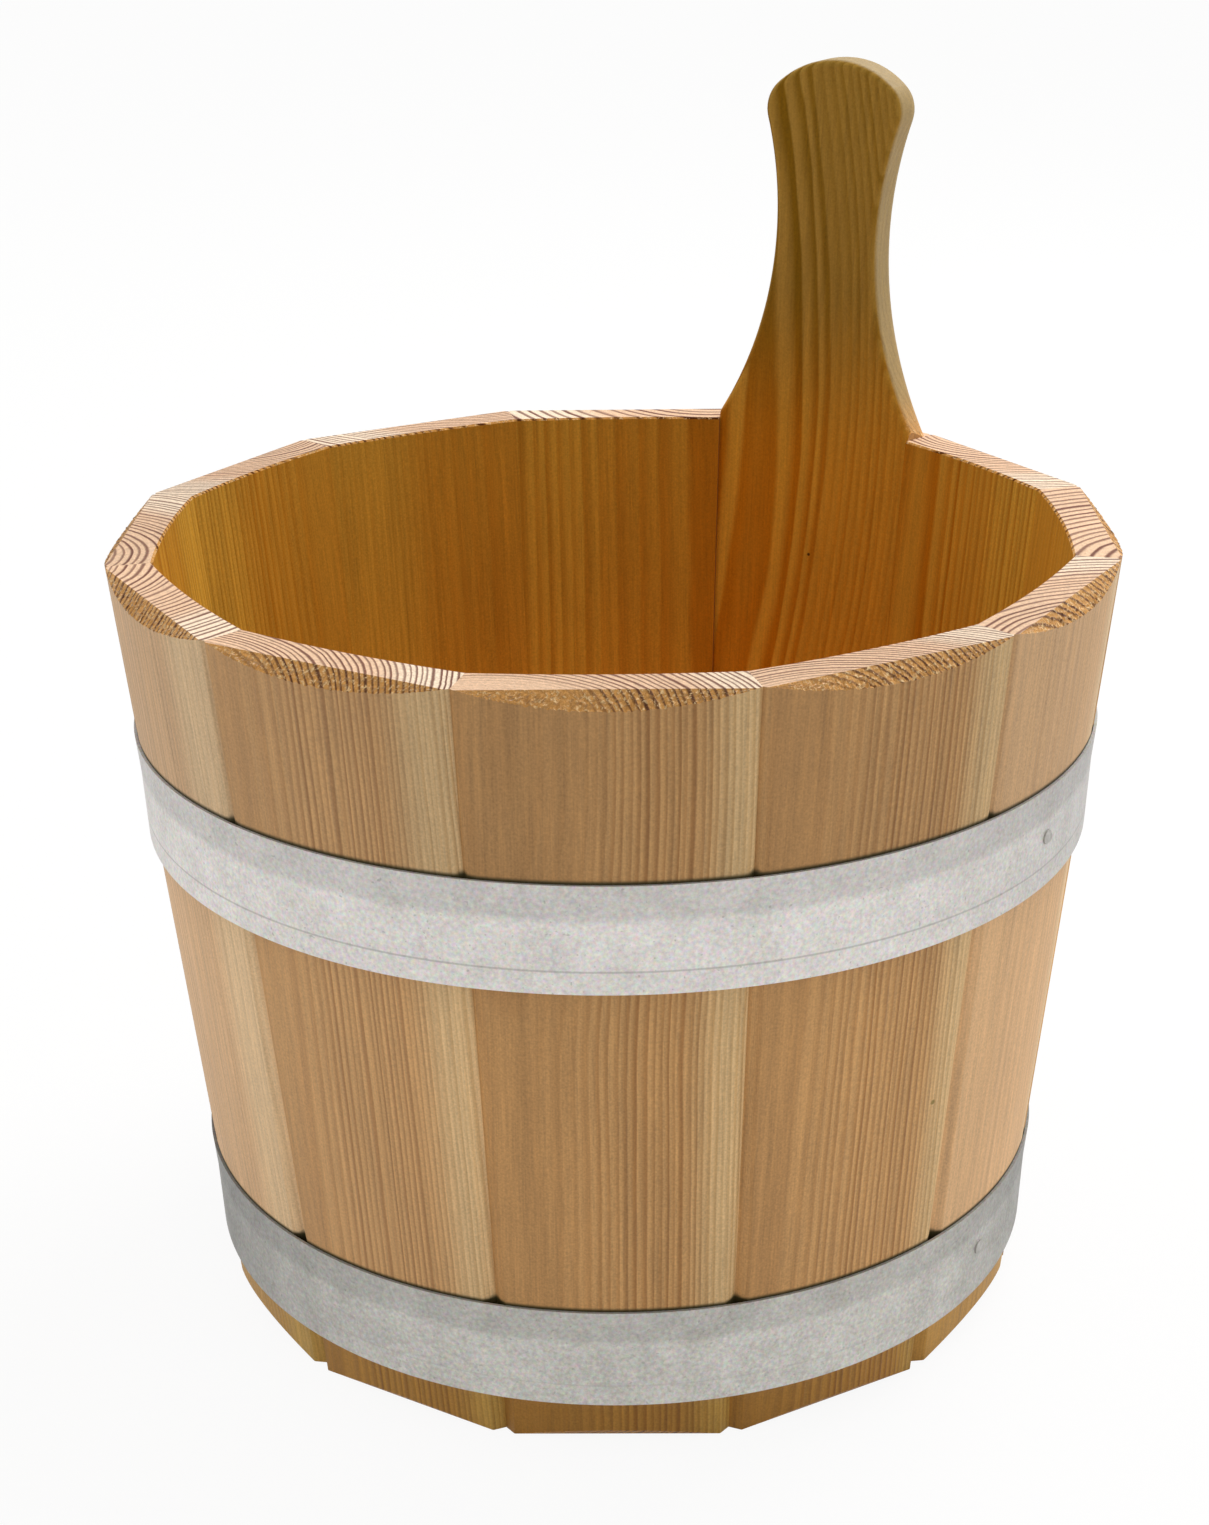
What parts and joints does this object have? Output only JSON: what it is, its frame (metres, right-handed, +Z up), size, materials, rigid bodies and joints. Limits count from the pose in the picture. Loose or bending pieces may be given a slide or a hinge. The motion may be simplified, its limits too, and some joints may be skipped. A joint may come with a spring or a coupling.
{
  "type": "sauna bucket",
  "caption": "Round coopered wooden bucket that widens upwards, with two riveted steel hoops and one long stave sawn to an upright handle.",
  "frame": {"origin": "on the bucket's axis, in the plane of the foot", "axes": "+Z up along the bucket's axis; +Y towards the handle stave; X across the handle, its plane of symmetry being X = 0"},
  "size_m": [0.2492, 0.2591, 0.297],
  "materials": {
    "wall_wood": "planed larch, unvarnished",
    "bottom_wood": "planed larch, unvarnished",
    "hoop_steel": "galvanised, matte grey",
    "fastener_steel": "galvanised, satin"
  },
  "bodies": {
    "root": {"handle_stave": "wall_wood", "stave_01": "wall_wood", "stave_02": "wall_wood", "stave_03": "wall_wood", "stave_04": "wall_wood", "stave_05": "wall_wood", "stave_06": "wall_wood", "stave_07": "wall_wood", "stave_08": "wall_wood", "stave_09": "wall_wood", "stave_10": "wall_wood", "stave_11": "wall_wood", "bottom_board_left": "bottom_wood", "bottom_board_middle": "bottom_wood", "bottom_board_right": "bottom_wood", "upper_hoop": "hoop_steel", "lower_hoop": "hoop_steel", "upper_hoop_rivets": "fastener_steel", "lower_hoop_rivets": "fastener_steel", "upper_hoop_nails": "fastener_steel", "lower_hoop_nails": "fastener_steel"}
  },
  "joints": []
}
